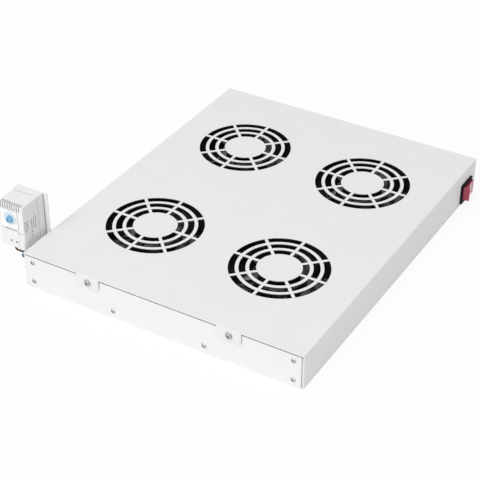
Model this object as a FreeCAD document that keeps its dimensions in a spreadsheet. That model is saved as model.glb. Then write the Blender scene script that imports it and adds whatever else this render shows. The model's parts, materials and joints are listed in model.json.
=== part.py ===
import FreeCAD, Part

import math
import os
import re

import Sketcher
from FreeCAD import Placement, Rotation, Vector

# Rack fan tray: a folded sheet-metal tray with four axial fans under punched grilles,
# a rocker switch in the right wall, an appliance inlet in the rear wall and a small
# bimetal thermostat on a bracket at the left wall.
# Frame: millimetres, origin at the centre of the tray's plan on the plane it rests on,
# +X to the right, +Y to the rear, +Z up.

os.makedirs("parts", exist_ok=True)
doc = FreeCAD.newDocument("rack_fan_tray")

BLADES = 5          # blades of one fan
ROUND_SIDES = 12    # sides that stand for a round outline on small pieces
KNOB_SIDES = 24
MOTOR_SIDES = 16
HUB_SIDES = 24
BLADE_FACETS = 4
BORE_SIDES = 48
LEAD_SIDES = 6

SIZES = {
    # tray
    "tray_width": 360.0,
    "tray_depth": 450.0,
    "tray_height": 46.0,
    "skin": 1.2,                    # sheet thickness
    "bend_radius": 2.0,
    "seam": 0.2,                    # gap between sheets that do not touch
    "return_width": 14.0,           # lower inward flange of each side wall
    "flange_width": 20.0,           # front flange of each side wall
    "flange_inset": 3.0,            # end gap of the front flanges
    "tab_pitch": 182.0,
    "tab_width": 30.0,
    "tab_length": 16.0,
    "tab_corner": 4.0,
    "tab_screw_drop": 9.2,
    "panel_inset": 2.8,
    "panel_drop": 2.2,              # open line between top sheet and front panel
    "panel_corner": 4.5,
    "sill_height": 16.0,            # front flange of the base plate
    "sill_width": 300.0,
    # grilles
    "fan_side_inset": 97.5,         # fan centres from the sides and the ends
    "fan_end_inset": 122.75,
    "grille_hub_radius": 25.9,
    "slot_width": 7.8,
    "slot_pitch": 11.9,
    "spoke_width": 3.6,
    # fans
    "fan_size": 120.0,
    "fan_thickness": 38.0,
    "fan_corner": 6.0,
    "fan_bore": 57.5,
    "intake_radius": 57.0,
    "strut_recess": 2.5,
    "strut_width": 5.0,
    "strut_height": 4.0,
    "motor_plate_radius": 29.0,
    "motor_plate": 2.5,
    "stator_radius": 24.0,
    "stator_height": 12.0,
    "shaft_radius": 2.0,
    "running_gap": 0.05,
    "hub_radius": 32.0,
    "hub_wall": 2.0,
    "shaft_end_gap": 0.5,
    "hub_height": 28.0,
    "rotor_lift": 1.5,              # hub rim above the struts
    "blade_thickness": 1.8,
    "blade_height": 25.0,
    "blade_camber": 4.0,
    "blade_tip": 52.5,
    "blade_tip_half": 19.0,
    "blade_root_half": 14.0,
    # fasteners
    "rivet_radius": 3.0,
    "rivet_head": 1.1,
    "rivet_end_inset": 12.2,
    "rivet_top_drop": 11.0,
    "rivet_low_height": 9.6,
    "rivet_low_pitch": 118.0,
    "screw_head_radius": 4.2,
    "screw_head": 2.2,
    "mount_side_inset": 9.0,
    "mount_end_inset": 55.0,
    "mount_hole_radius": 3.3,
    "notch_width": 12.0,            # cut in the floor sheet round each mounting hole
    # rocker switch
    "switch_inset": 30.0,           # from the tray's rear end
    "switch_height": 17.0,
    "bezel_length": 31.0,
    "bezel_height": 27.0,
    "bezel_thickness": 2.0,
    "bezel_corner": 2.0,
    "switch_body_length": 28.4,
    "switch_body_height": 21.4,
    "switch_body_depth": 20.0,
    "switch_well_length": 27.2,
    "switch_well_height": 19.0,
    "switch_well_depth": 12.0,
    "pivot_depth": 7.0,             # rocker pivot below the bezel's face
    "rocker_half_length": 11.5,
    "rocker_half_width": 9.2,
    "rocker_end_rise": 12.4,
    "rocker_dip_rise": 10.6,
    "rocker_skirt": 2.0,
    "rocker_skirt_half": 8.5,
    "rocker_tilt": 12.0,
    "trunnion_radius": 1.3,
    "trunnion_reach": 0.9,
    "spade_thickness": 0.8,
    "spade_width": 4.8,
    "spade_length": 9.0,
    "spade_pitch_long": 14.0,
    "spade_pitch_high": 10.0,
    # appliance inlet
    "inlet_offset": 30.0,
    "inlet_height": 21.0,
    "inlet_flange_width": 50.0,
    "inlet_flange_height": 22.5,
    "inlet_flange": 2.5,
    "inlet_body_width": 28.0,
    "inlet_body_height": 20.0,
    "inlet_body_depth": 21.0,
    "socket_width": 24.6,
    "socket_height": 16.6,
    "socket_depth": 18.0,
    "socket_chamfer": 4.6,
    "pin_pitch": 14.0,
    "pin_stagger": 4.0,
    "pin_thickness": 2.0,
    "pin_width": 4.0,
    "pin_length": 14.0,
    "pin_tail": 8.0,
    "inlet_hole_pitch": 40.0,
    "inlet_screw_head_radius": 2.8,
    "inlet_screw_head": 1.8,
    # wiring
    "block_inset": 30.0,            # terminal block from the left wall
    "block_length": 44.0,
    "block_depth": 18.0,
    "block_height": 15.0,
    "block_front_gap": 12.6,        # terminal block behind the front panel
    "block_screw_pitch": 11.0,
    "block_screw_radius": 2.4,
    "block_screw_depth": 6.0,
    "cable_width": 9.0,
    "cable_thickness": 2.4,
    "cable_inset": 37.0,            # rear cable run from the tray's rear end
    "lead_width": 4.0,
    "lead_inset": 20.0,             # fan leads from the inner edges of the fans
    "earth_screw_radius": 4.0,
    "earth_screw_height": 4.0,
    "earth_offset": 70.0,
    "earth_inset": 27.0,
    # thermostat and its bracket
    "stat_reach": 24.0,             # thermostat's middle, outside the left wall
    "stat_inset": 13.4,             # its front, behind the front of the tray
    "stat_depth": 28.6,             # depth of the case
    "stat_base_depth": 9.4,
    "stat_width": 34.0,
    "stat_top": 94.0,
    "stat_height": 56.5,
    "stat_wall": 1.6,
    "stat_corner": 2.0,
    "louvre_height": 0.8,           # flat slots in the sides behind the front edge
    "louvre_length": 10.0,
    "louvre_pitch": 3.5,
    "louvre_count": 4,
    "louvre_drop": 21.5,
    "slit_width": 0.9,              # upright slots further back in the sides
    "slit_depth": 1.1,
    "slit_first": 14.6,
    "slit_pitch": 3.7,
    "slit_low": 35.0,
    "catch_length": 2.8,            # openings of the two catches
    "catch_height": 1.5,
    "catch_drop": 38.6,
    "catch_pitch": 4.8,
    "cheek_width": 7.0,             # rounded block beside the terminals
    "cheek_round": 3.0,
    "cheek_top_drop": 35.0,
    "front_relief": 0.8,            # cover and cheek stand out from the case by this
    "vent_width": 1.5,
    "vent_pitch": 3.2,
    "vent_count": 9,
    "vent_back": 7.0,
    "vent_down": 6.5,
    "cover_width": 22.5,            # front cover with the dial
    "cover_shift": 1.2,
    "cover_top_drop": 7.5,
    "cover_low_drop": 31.0,
    "nose_top_drop": 33.4,          # terminal nose under the front cover
    "nose_floor": 1.5,
    "mouth_height": 1.3,             # slot between front cover and nose
    "mouth_width": 16.0,
    "mouth_depth": 3.0,
    "terminal_shift": 2.6,
    "knob_drop": 18.0,
    "knob_radius": 5.2,
    "knob_length": 4.0,
    "knob_groove": 1.2,
    "spindle_radius": 2.0,
    "spindle_length": 14.0,
    "stat_screw_pitch": 7.8,
    "stat_screw_drop": 48.2,
    "stat_screw_radius": 1.9,
    "stat_screw_depth": 5.0,
    "bimetal_thickness": 0.8,
    "bimetal_width": 6.0,
    "bimetal_length": 34.0,
    "stat_base_width": 36.0,
    "stat_base_height": 58.9,
    "rail_height": 35.0,
    "rail_skin": 1.0,
    "rail_depth": 7.5,
    "rail_channel": 25.0,
    "rail_length": 30.0,
    "rail_grip": 0.3,
    "rail_room": 31.0,              # width of the recess for the rail
    "hook_reach": 3.0,
    "bracket_skin": 1.2,
    "bracket_foot": 22.0,
    "bracket_bottom": 5.0,
    "bracket_top": 94.6,
    "bracket_foot_top": 42.0,
    "bracket_width": 42.5,
    "bracket_rivet_low": 12.0,
    "bracket_rivet_pitch": 22.0,
    # thermostat leads
    "grommet_inset": 18.0,          # grommet behind the front of the tray
    "grommet_height": 29.0,
    "grommet_hole": 5.0,
    "grommet_lip": 6.8,
    "grommet_lip_thickness": 1.6,
    "grommet_bore": 2.9,
    "wire_radius": 1.2,
    "wire_bend": 2.6,
}

sheet = doc.addObject("Spreadsheet::Sheet", "Sizes")
for row, (name, value) in enumerate(SIZES.items(), 1):
    sheet.set(f"A{row}", name)
    sheet.set(f"B{row}", str(value))
    sheet.setAlias(f"B{row}", name)
doc.recompute()


# ---------------------------------------------------------------- helpers

def formula(text):
    """Turn a formula written with size names into a spreadsheet expression."""
    def named(match):
        word = match.group()
        return "Sizes." + word if word in SIZES else word
    return re.sub(r"[a-z][a-z_]*", named, str(text))


def size(name):
    """The present value of one size, for shapes made in code."""
    return float(getattr(sheet, name))


def bind(item, **formulas):
    """Tie properties of an object to formulas of the sizes."""
    for prop, text in formulas.items():
        item.setExpression(prop.replace("__", "."), formula(text))
    return item


def place(item, x=0, y=0, z=0):
    """Tie an object's position to formulas of the sizes."""
    for axis, text in zip("xyz", (x, y, z)):
        item.setExpression("Placement.Base." + axis, formula(text))
    return item


TURNS = {
    "x": Rotation(Vector(0, 1, 0), 90),
    "y": Rotation(Vector(1, 0, 0), -90),
    "z": Rotation(),
}


def box(name, spans):
    """A box from three (low, high) pairs of formulas."""
    item = doc.addObject("Part::Box", name)
    lows = [low for low, _ in spans]
    for prop, (low, high) in zip(("Length", "Width", "Height"), spans):
        item.setExpression(prop, formula(f"({high}) - ({low})"))
    return place(item, *lows)


def rod(name, axis, radius, start, length):
    """A cylinder along +axis from the point start."""
    item = doc.addObject("Part::Cylinder", name)
    item.Placement = Placement(Vector(), TURNS[axis])
    bind(item, Radius=radius, Height=length)
    return place(item, *start)


def prism(name, axis, sides, radius, start, length):
    """A regular prism along +axis; small round pieces get few sides this way."""
    item = doc.addObject("Part::Prism", name)
    item.Placement = Placement(Vector(), TURNS[axis])
    item.Polygon = sides
    bind(item, Circumradius=radius, Height=length)
    return place(item, *start)


def fuse(name, *items):
    item = doc.addObject("Part::MultiFuse", name)
    item.Shapes = list(items)
    return item


def cut(name, base, *tools):
    item = doc.addObject("Part::Cut", name)
    item.Base = base
    item.Tool = tools[0] if len(tools) == 1 else fuse(name + "_tools", *tools)
    return item


def group(name, *items):
    """Identical fasteners that share one node as separate solids."""
    item = doc.addObject("Part::Compound", name)
    item.Links = list(items)
    return item


def shaped(name, shape):
    """A piece whose shape comes from Part's own functions."""
    item = doc.addObject("Part::Feature", name)
    item.Shape = shape
    return item


def dressed(kind, name, base, radius, wanted):
    """Fillet or chamfer the edges of a Part object that the test picks."""
    doc.recompute()
    item = doc.addObject("Part::" + kind, name)
    item.Base = base
    picked = [i for i, edge in enumerate(base.Shape.Edges, 1) if wanted(edge)]
    item.Edges = [(i, size(radius), size(radius)) for i in picked]
    return item


def upright(edge):
    """True for a straight edge along Z."""
    ends = [v.Point for v in edge.Vertexes]
    return len(ends) == 2 and (ends[1] - ends[0]).cross(Vector(0, 0, 1)).Length < 1e-6


def new_body(name):
    return doc.addObject("PartDesign::Body", name)


def new_sketch(body, name, plane, offset=(0, 0, 0)):
    """A sketch on one of the body's origin planes, moved by three formulas."""
    sketch = body.newObject("Sketcher::SketchObject", name)
    role = plane + "_Plane"
    support = [f for f in body.Origin.OriginFeatures if f.Role == role][0]
    sketch.AttachmentSupport = [(support, "")]
    sketch.MapMode = "FlatFace"
    for axis, text in zip("xyz", offset):
        sketch.setExpression("AttachmentOffset.Base." + axis, formula(text))
    return sketch


def fix_point(sketch, curve, point, u=None, v=None):
    """Hold a point of a curve at formulas measured from the sketch's origin."""
    for kind, text in (("DistanceX", u), ("DistanceY", v)):
        if text is None:
            continue
        index = sketch.addConstraint(Sketcher.Constraint(kind, -1, 1, curve, point, 1.0))
        sketch.setExpression(f"Constraints[{index}]", formula(text))


def outline(sketch, points):
    """A closed polygon through points given as pairs of formulas."""
    rough = [Vector(evaluate(u), evaluate(v), 0) for u, v in points]
    first = sketch.GeometryCount
    last = first + len(points) - 1
    for i, start in enumerate(rough):
        sketch.addGeometry(Part.LineSegment(start, rough[(i + 1) % len(rough)]), False)
    for i in range(first, last + 1):
        following = first if i == last else i + 1
        sketch.addConstraint(Sketcher.Constraint("Coincident", i, 2, following, 1))
    for i, (u, v) in enumerate(points):
        fix_point(sketch, first + i, 1, u, v)


def evaluate(text):
    """The present value of a formula, to draw a sketch near its final form."""
    return float(sheet.evalExpression(formula(text)))


def circle(sketch, u, v, radius):
    """A circle held by formulas."""
    shape = Part.Circle(Vector(evaluate(u), evaluate(v), 0), Vector(0, 0, 1), evaluate(radius))
    index = sketch.addGeometry(shape, False)
    fix_point(sketch, index, 3, u, v)
    hold = sketch.addConstraint(Sketcher.Constraint("Radius", index, evaluate(radius)))
    sketch.setExpression(f"Constraints[{hold}]", formula(radius))


def rectangle(sketch, left, right, low, high):
    outline(sketch, [(left, low), (right, low), (right, high), (left, high)])


def feature(body, kind, name, sketch, **settings):
    """A sketch-based feature; formulas bind its lengths, other settings are set."""
    item = body.newObject("PartDesign::" + kind, name)
    item.Profile = sketch
    for prop, value in settings.items():
        if isinstance(value, str) and prop.startswith("Length"):
            item.setExpression(prop, formula(value))
        else:
            setattr(item, prop, value)
    body.Tip = item
    doc.recompute()
    return item


def body_fillet(body, name, radius, wanted):
    """Fillet the edges of a body's last feature that the test picks."""
    doc.recompute()
    base = body.Tip
    picked = [f"Edge{i}" for i, edge in enumerate(base.Shape.Edges, 1) if wanted(edge)]
    item = body.newObject("PartDesign::Fillet", name)
    item.Base = (base, picked)
    item.setExpression("Radius", formula(radius))
    body.Tip = item
    doc.recompute()
    return item


def close(a, b):
    return abs(a - b) < 1e-4


PARTS = []


def keep(item):
    """Mark an object as one finished piece of the tray."""
    PARTS.append(item)
    return item


# ---------------------------------------------------------------- folded cover

FRONT = "-(tray_depth / 2)"
PANEL_FRONT = "-(tray_depth / 2) + skin"            # outer face of the front panel
PANEL_BACK = "-(tray_depth / 2) + 2 * skin"         # its inner face, on the flanges
REAR_FACE = "tray_depth / 2 - skin"                 # outer face of the rear wall
REAR_INNER = "tray_depth / 2 - 2 * skin"
UNDER_TOP = "tray_height - skin"
TAB_SCREW_HEIGHT = "tray_height - tab_screw_drop"
FANS = [(sx, sy) for sy in (-1, 1) for sx in (-1, 1)]
FAN_X = "(tray_width / 2 - fan_side_inset)"
FAN_Y = "(tray_depth / 2 - fan_end_inset)"
MOUNT_X = "(tray_width / 2 - mount_side_inset)"
MOUNT_Y = "(tray_depth / 2 - mount_end_inset)"
STAT_X = "(-(tray_width / 2) - stat_reach)"
STAT_FRONT = "(-(tray_depth / 2) + stat_inset)"
STAT_REAR = f"({STAT_FRONT} + stat_depth)"          # joint between case and base
BRACKET_FACE = f"({STAT_REAR} + stat_base_depth)"   # plane that carries the rail
GROMMET_Y = "(-(tray_depth / 2) + grommet_inset)"
BLOCK_LEFT = "(-(tray_width / 2) + block_inset)"
BLOCK_FRONT = f"({PANEL_BACK} + block_front_gap)"
BLOCK_Y = f"({BLOCK_FRONT} + block_depth / 2)"
CABLE_Y = "(tray_depth / 2 - cable_inset)"


def fan_x(side):
    return f"{side} * {FAN_X}"


def fan_y(side):
    return f"{side} * {FAN_Y}"


def slot_outline(sketch, inner, outer):
    """One slot between two rings and two spokes that stand 45 degrees apart."""
    half = size("spoke_width") / 2
    corners = []
    for radius in (inner, outer):
        value = evaluate(radius)
        lean = math.asin(half / value)
        corners.append((value, lean, math.radians(45) - lean))
    curves = []
    for value, low, high in corners:
        arc = Part.ArcOfCircle(Part.Circle(Vector(), Vector(0, 0, 1), value), low, high)
        curves.append(sketch.addGeometry(arc, False))
    for point in (1, 2):
        ends = [sketch.getPoint(curve, point) for curve in curves]
        line = sketch.addGeometry(Part.LineSegment(ends[0], ends[1]), False)
        for end, curve in enumerate(curves, 1):
            sketch.addConstraint(Sketcher.Constraint("Coincident", line, end, curve, point))
    for curve, radius in zip(curves, (inner, outer)):
        sketch.addConstraint(Sketcher.Constraint("Coincident", curve, 3, -1, 1))
        hold = sketch.addConstraint(Sketcher.Constraint("Radius", curve, evaluate(radius)))
        sketch.setExpression(f"Constraints[{hold}]", formula(radius))
        lean = f"asin(spoke_width / 2 / ({radius}))"
        fix_point(sketch, curve, 1, v="spoke_width / 2")
        fix_point(sketch, curve, 2, u=f"({radius}) * cos(45 deg - {lean})")


def make_top_cover():
    """Top sheet and both side walls folded from one sheet, with the punched grilles."""
    body = new_body("cover_body")
    half = "tray_width / 2"
    wall = "(tray_width / 2 - skin)"
    toe = "(tray_width / 2 - return_width)"
    section = new_sketch(body, "cover_section", "XZ")
    outline(section, [
        (f"-{half}", 0), (f"-{half}", "tray_height"), (half, "tray_height"), (half, 0),
        (toe, 0), (toe, "skin"), (wall, "skin"), (wall, UNDER_TOP),
        (f"-{wall}", UNDER_TOP), (f"-{wall}", "skin"), (f"-{toe}", "skin"), (f"-{toe}", 0),
    ])
    feature(body, "Pad", "cover_fold", section, Length="tray_depth", Midplane=True)

    def bend_at(inset):
        def wanted(edge):
            mid = edge.CenterOfMass
            side = close(abs(mid.x), size("tray_width") / 2 - inset)
            level = size("tray_height") / 2 - inset
            return side and close(abs(mid.z - size("tray_height") / 2), level)
        return wanted

    body_fillet(body, "outer_bends", "bend_radius", bend_at(0))
    body_fillet(body, "inner_bends", "bend_radius - skin", bend_at(size("skin")))
    ends = new_sketch(body, "wall_ends", "YZ")
    for sign in ("-", ""):
        inner = f"{sign}({REAR_INNER})"
        outer = f"{sign}(tray_depth / 2 + 1)"
        rectangle(ends, inner, outer, "-1", UNDER_TOP)
    feature(body, "Pocket", "wall_trim", ends, Type="ThroughAll", Midplane=True)

    flanges = new_sketch(body, "flange_plan", "XY", offset=(0, 0, "flange_inset"))
    tabs = new_sketch(body, "tab_plan", "XY", offset=(0, 0, "tray_height - tab_length"))
    for sign in ("-", ""):
        rectangle(flanges, f"{sign}{wall}", f"{sign}({half} - flange_width)",
                  PANEL_BACK, f"{PANEL_BACK} + skin")
        for side in ("-", ""):
            middle = f"{sign}tab_pitch / 2"
            rectangle(tabs, f"{middle} - tab_width / 2", f"{middle} + tab_width / 2",
                      f"{side}(tray_depth / 2)", f"{side}(tray_depth / 2 - skin)")
    feature(body, "Pad", "wall_flanges", flanges, Length="tray_height - skin - 2 * flange_inset")
    feature(body, "Pad", "tabs", tabs, Length="tab_length - skin")

    def tab_corner(edge):
        mid = edge.CenterOfMass
        low = close(mid.z, size("tray_height") - size("tab_length"))
        return low and close(edge.Length, size("skin"))

    body_fillet(body, "tab_corners", "tab_corner", tab_corner)

    slots = new_sketch(body, "slot_sector", "XY", offset=(fan_x(-1), fan_y(-1), UNDER_TOP))
    for ring in range(3):
        inner = f"grille_hub_radius + {ring} * slot_pitch"
        slot_outline(slots, inner, inner + " + slot_width")
    pocket = feature(body, "Pocket", "slots", slots, Length="2 * skin", Reversed=True)
    pattern = body.newObject("PartDesign::MultiTransform", "grilles")
    pattern.Originals = [pocket]
    around = body.newObject("PartDesign::PolarPattern", "slots_around")
    around.Axis = (slots, ["N_Axis"])
    around.Angle = 360
    around.Occurrences = 8
    across = body.newObject("PartDesign::LinearPattern", "grilles_across")
    across.Direction = (slots, ["H_Axis"])
    across.Occurrences = 2
    bind(across, Length=f"2 * {FAN_X}")
    deep = body.newObject("PartDesign::LinearPattern", "grilles_deep")
    deep.Direction = (slots, ["V_Axis"])
    deep.Occurrences = 2
    bind(deep, Length=f"2 * {FAN_Y}")
    pattern.Transformations = [around, across, deep]
    body.Tip = pattern
    doc.recompute()

    mounts = new_sketch(body, "mount_holes", "XY", offset=(0, 0, "-skin"))
    for sign in ("-", ""):
        for side in ("-", ""):
            circle(mounts, f"{sign}{MOUNT_X}", f"{side}{MOUNT_Y}",
                   "mount_hole_radius")
    feature(body, "Pocket", "mount_hole_pocket", mounts, Length="3 * skin", Reversed=True)

    window = new_sketch(body, "switch_window", "YZ", offset=(0, 0, f"{wall} - skin"))
    middle = f"({SWITCH_Y})"
    rectangle(window, f"{middle} - switch_body_length / 2 - seam / 2",
              f"{middle} + switch_body_length / 2 + seam / 2",
              "switch_height - switch_body_height / 2 - seam / 2",
              "switch_height + switch_body_height / 2 + seam / 2")
    feature(body, "Pocket", "switch_cutout", window, Length="4 * skin", Reversed=True)

    hole = prism("grommet_opening", "x", ROUND_SIDES, "grommet_hole",
                 (f"-({half}) - skin", GROMMET_Y, "grommet_height"), "4 * skin")
    return cut("top_cover", body, hole)


# ---------------------------------------------------------------- base plate and front panel

def make_base_plate():
    """Floor with four intake openings and a front sill."""
    half = "(tray_width / 2 - bend_radius)"
    floor = box("floor_sheet", [(f"-{half}", half), (PANEL_BACK, REAR_INNER), ("skin", "2 * skin")])
    sill = box("front_sill", [("-sill_width / 2", "sill_width / 2"),
                              (PANEL_BACK, f"{PANEL_BACK} + skin"), ("skin", "sill_height")])
    folded = fuse("base_fold", floor, sill)
    tools = []
    for n, (sx, sy) in enumerate(FANS, 1):
        tools.append(rod(f"intake_{n}", "z", "intake_radius", (fan_x(sx), fan_y(sy), 0), "4 * skin"))
        tools.append(box(f"bolt_notch_{n}", [
            centred(f"{sx} * ({MOUNT_X} + notch_width / 4)", "notch_width * 1.5"),
            centred(f"{sy} * {MOUNT_Y}", "notch_width"), (0, "4 * skin")]))
    return cut("base_plate", folded, *tools)


def make_rear_panel():
    """Rear wall behind the floor sheet, with the cut-out for the power inlet."""
    half = "(tray_width / 2 - bend_radius)"
    wall = box("rear_sheet", [(f"-{half}", half), (REAR_INNER, REAR_FACE),
                              ("skin", f"{UNDER_TOP} - seam")])
    window = box("inlet_window", inlet_spans("seam / 2", "tray_depth / 2 - 4 * skin",
                                             "tray_depth / 2 + skin"))
    return cut("rear_panel", wall, window)


def make_front_panel():
    """Flat panel with rounded lower corners, behind the tabs of the cover."""
    body = new_body("front_panel")
    half = "(tray_width / 2 - panel_inset)"
    plan = new_sketch(body, "panel_plan", "XZ", offset=(0, 0, "tray_depth / 2 - 2 * skin"))
    rectangle(plan, f"-{half}", half, "seam", f"{UNDER_TOP} - panel_drop")
    feature(body, "Pad", "panel_sheet", plan, Length="skin")

    def low_corner(edge):
        mid = edge.CenterOfMass
        return close(edge.Length, size("skin")) and close(mid.z, size("seam"))

    body_fillet(body, "panel_corners", "panel_corner", low_corner)
    return body


# ---------------------------------------------------------------- fasteners

def heads(name, axis, radius, height, spots):
    """The heads of equal rivets or screws, seated on the sheets that they hold."""
    items = [prism(f"{name}_{n}", axis, ROUND_SIDES, radius, spot, height)
             for n, spot in enumerate(spots, 1)]
    return group(name, *items)


def make_panel_rivets():
    face = f"{PANEL_FRONT} - rivet_head"
    spots = []
    for sign in (-1, 1):
        end = f"{sign} * (tray_width / 2 - rivet_end_inset)"
        spots.append((end, face, "tray_height - rivet_top_drop"))
        spots.append((end, face, "rivet_low_height"))
        spots.append((f"{sign} * rivet_low_pitch / 2", face, "rivet_low_height"))
    return heads("panel_rivets", "y", "rivet_radius", "rivet_head", spots)


def make_cover_screws():
    spots = []
    for sign in (-1, 1):
        x = f"{sign} * tab_pitch / 2"
        spots.append((x, f"{FRONT} - screw_head", TAB_SCREW_HEIGHT))
        spots.append((x, "tray_depth / 2", TAB_SCREW_HEIGHT))
    return heads("cover_screws", "y", "screw_head_radius", "screw_head", spots)


# ---------------------------------------------------------------- fans

FAN_FLOOR = "2 * skin"
PLATE_LOW = f"{FAN_FLOOR} + strut_recess"
PLATE_TOP = f"{PLATE_LOW} + motor_plate"
SHAFT_LOW = f"{PLATE_TOP} + shaft_end_gap"
HUB_RIM = f"{PLATE_LOW} + strut_height + rotor_lift"
HUB_TOP = f"{HUB_RIM} + hub_height"


def make_fan_frame(n, sx, sy):
    """Square housing with its bore, struts, motor plate and the stator on it."""
    x = fan_x(sx)
    y = fan_y(sy)
    block = box(f"fan_block_{n}", [centred(x, "fan_size"), centred(y, "fan_size"),
                                   (FAN_FLOOR, f"{FAN_FLOOR} + fan_thickness")])
    outside = dressed("Chamfer", f"fan_corners_{n}", block, "fan_corner", upright)
    bore = prism(f"fan_bore_{n}", "z", BORE_SIDES, "fan_bore", (x, y, FAN_FLOOR), "fan_thickness")
    ring = cut(f"fan_ring_{n}", outside, bore)
    level = (PLATE_LOW, f"{PLATE_LOW} + strut_height")
    bars = [
        box(f"strut_across_{n}", [centred(x, "2 * fan_bore + 2"), centred(y, "strut_width"), level]),
        box(f"strut_deep_{n}", [centred(x, "strut_width"), centred(y, "2 * fan_bore + 2"), level]),
    ]
    plate = prism(f"motor_plate_{n}", "z", MOTOR_SIDES, "motor_plate_radius", (x, y, PLATE_LOW),
                  "strut_height")
    stator = prism(f"stator_{n}", "z", MOTOR_SIDES, "stator_radius", (x, y, PLATE_LOW),
                   "strut_height + stator_height")
    bearing = rod(f"bearing_bore_{n}", "z", "shaft_radius + running_gap", (x, y, PLATE_TOP),
                  "fan_thickness")
    return cut(f"fan_frame_{n}", fuse(f"fan_casting_{n}", ring, *bars, plate, stator), bearing)


def make_blade():
    """One cambered blade that widens from the hub to the tip."""
    height = size("blade_height")
    half = size("blade_tip_half")
    inner = size("hub_radius") - 4 * size("hub_wall")
    tip = size("blade_tip")
    low = evaluate(HUB_RIM) + (size("hub_height") - height) / 2
    across = Vector(0, 2 * half, height)
    normal = Vector(0, -height, 2 * half).normalize()
    face = []
    for k in range(BLADE_FACETS + 1):
        share = k / BLADE_FACETS
        bulge = normal * size("blade_camber") * math.sin(math.pi * share)
        face.append(Vector(inner, -half, low) + across * share + bulge)
    skin = normal * size("blade_thickness")
    back = [point + skin for point in reversed(face)]
    section = Part.Face(Part.makePolygon(face + back + face[:1]))
    plain = section.extrude(Vector(tip - inner, 0, 0))
    root = size("blade_root_half")
    corners = [(inner, -root), (tip, -half), (tip, half), (inner, root), (inner, -root)]
    plan = Part.Face(Part.makePolygon([Vector(x, y, low - half) for x, y in corners]))
    return plain.common(plan.extrude(Vector(0, 0, height + 2 * half)))


def make_rotor(n, sx, sy):
    """Hub cup with its shaft and five blades in one moulding."""
    spot = (0, 0, HUB_RIM)
    cup = prism(f"hub_{n}", "z", HUB_SIDES, "hub_radius", spot, "hub_height")
    hollow = prism(f"hub_inside_{n}", "z", HUB_SIDES, "hub_radius - hub_wall", spot,
                   "hub_height - hub_wall")
    shaft = rod(f"shaft_{n}", "z", "shaft_radius", (0, 0, SHAFT_LOW), f"{HUB_TOP} - ({SHAFT_LOW})")
    doc.recompute()
    blades = []
    for k in range(BLADES):
        turned = make_blade()
        turned.rotate(Vector(), Vector(0, 0, 1), k * 360 / BLADES)
        blades.append(turned)
    bladed = cup.Shape.multiFuse(blades).cut(hollow.Shape)
    whole = bladed.fuse(shaft.Shape).removeSplitter()
    return place(shaped(f"fan_rotor_{n}", whole), fan_x(sx), fan_y(sy))


# ---------------------------------------------------------------- rocker switch

SWITCH_Y = "tray_depth / 2 - switch_inset"
WALL = "tray_width / 2"
BEZEL_FACE = f"{WALL} + bezel_thickness"
PIVOT_X = f"{BEZEL_FACE} - pivot_depth"


def centred(middle, length, extra="0"):
    return (f"({middle}) - ({length}) / 2 - {extra}", f"({middle}) + ({length}) / 2 + {extra}")


def make_switch_housing():
    """Bezel and body with the well in which the rocker tips."""
    bezel = box("switch_bezel", [(WALL, BEZEL_FACE), centred(SWITCH_Y, "bezel_length"),
                                 centred("switch_height", "bezel_height")])

    def bezel_corner(edge):
        ends = [v.Point for v in edge.Vertexes]
        return (ends[1] - ends[0]).cross(Vector(1, 0, 0)).Length < 1e-6

    frame = dressed("Fillet", "switch_bezel_rounded", bezel, "bezel_corner", bezel_corner)
    shell = box("switch_shell", [(f"{WALL} - switch_body_depth", WALL),
                                 centred(SWITCH_Y, "switch_body_length"),
                                 centred("switch_height", "switch_body_height")])
    well = box("switch_well", [(f"{BEZEL_FACE} - switch_well_depth", f"{BEZEL_FACE} + 1"),
                               centred(SWITCH_Y, "switch_well_length"),
                               centred("switch_height", "switch_well_height")])
    axle = rod("switch_axle_holes", "z", "trunnion_radius + running_gap",
               (PIVOT_X, SWITCH_Y, "switch_height - switch_body_height / 2"), "switch_body_height")
    return cut("switch_housing", fuse("switch_block", frame, shell), well, axle)


def make_rocker():
    """Rocker with a dished face and two trunnions, tipped to its rest position."""
    body = new_body("switch_rocker")
    body.Placement = Placement(Vector(), Rotation(Vector(0, 0, 1), 1))
    place(body, PIVOT_X, SWITCH_Y, "switch_height")
    body.setExpression("Placement.Rotation.Angle", formula("rocker_tilt"))
    side = new_sketch(body, "rocker_side", "XY")
    outline(side, [
        ("rocker_end_rise", "-rocker_half_length"), ("rocker_dip_rise", 0),
        ("rocker_end_rise", "rocker_half_length"), (0, "rocker_half_length"),
        ("-rocker_skirt", "rocker_skirt_half"), ("-rocker_skirt", "-rocker_skirt_half"),
        (0, "-rocker_half_length"),
    ])
    feature(body, "Pad", "rocker_block", side, Length="2 * rocker_half_width", Midplane=True)
    pins = new_sketch(body, "trunnion_plan", "XY")
    circle(pins, 0, 0, "trunnion_radius")
    feature(body, "Pad", "trunnions", pins, Length="2 * rocker_half_width + 2 * trunnion_reach",
            Midplane=True)
    return body


def make_switch_terminals():
    spades = []
    for n, (sx, sy) in enumerate(FANS, 1):
        spades.append(box(f"switch_spade_{n}", [
            (f"{WALL} - switch_body_depth - spade_length", f"{WALL} - switch_body_depth"),
            centred(f"{SWITCH_Y} + {sx} * spade_pitch_long / 2", "spade_thickness"),
            centred(f"switch_height + {sy} * spade_pitch_high / 2", "spade_width")]))
    return group("switch_terminals", *spades)


# ---------------------------------------------------------------- appliance inlet

INLET_FACE = "tray_depth / 2 - skin + inlet_flange"
SOCKET_FLOOR = f"{INLET_FACE} - socket_depth"


def inlet_spans(extra, front, rear):
    return [centred("inlet_offset", "inlet_body_width", extra), (front, rear),
            centred("inlet_height", "inlet_body_height", extra)]


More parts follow.
